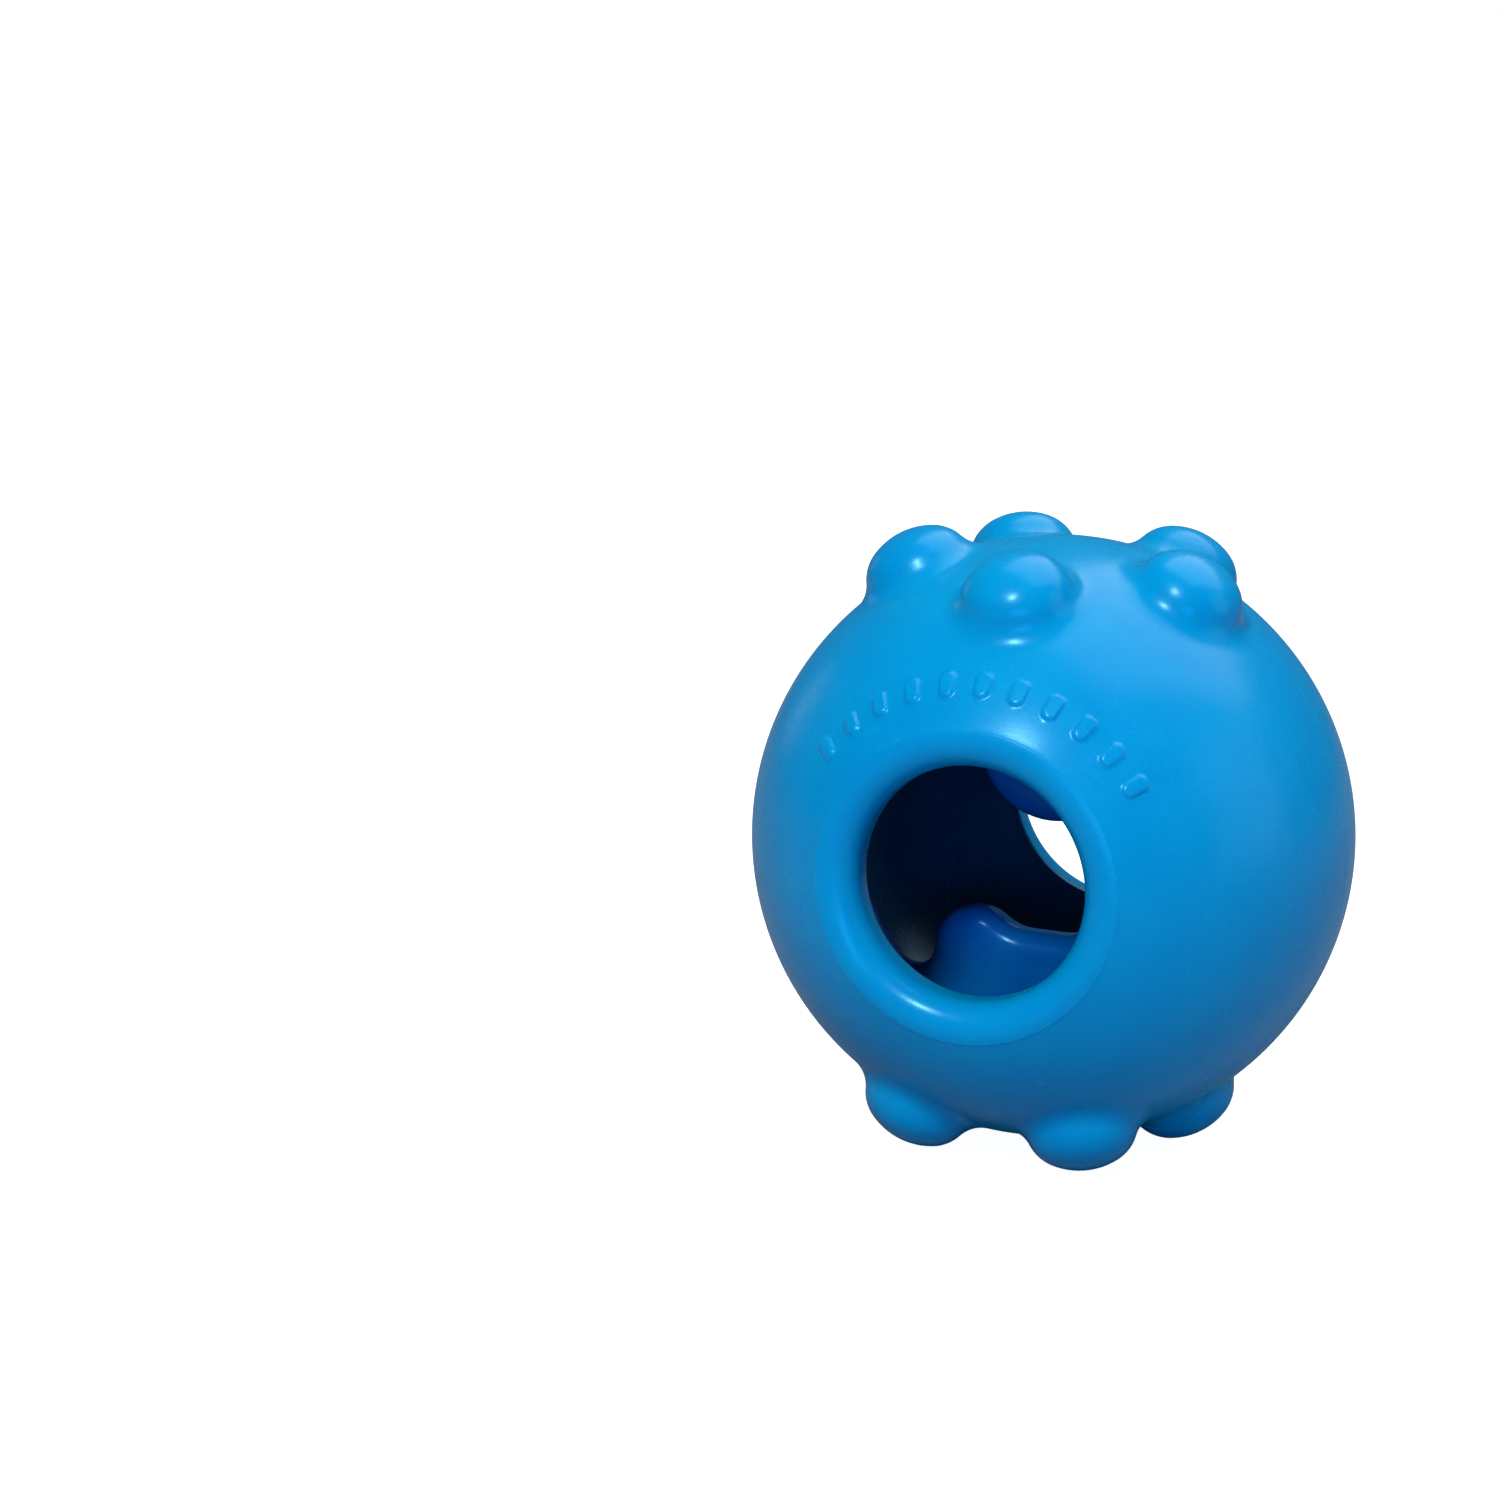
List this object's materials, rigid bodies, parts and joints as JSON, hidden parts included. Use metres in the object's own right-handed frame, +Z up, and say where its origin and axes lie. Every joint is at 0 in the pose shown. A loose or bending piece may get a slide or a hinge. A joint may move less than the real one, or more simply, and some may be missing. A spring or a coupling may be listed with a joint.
{
  "type": "dryer ball",
  "caption": "Hollow moulded rubber ball with two facing round openings, domed knobs on top and underneath, and a notched web across the inside.",
  "frame": {"origin": "centre of the ball, halfway between the two openings", "axes": "+Z up through the ring of knobs above the ball, -Y out of the front opening, +Y out of the rear opening"},
  "size_m": [0.0762, 0.0666, 0.0776],
  "materials": {
    "rubber": "glossy moulded blue rubber"
  },
  "bodies": {
    "root": {"front_shell": "rubber", "rear_shell": "rubber", "inner_baffle": "rubber"}
  },
  "joints": []
}
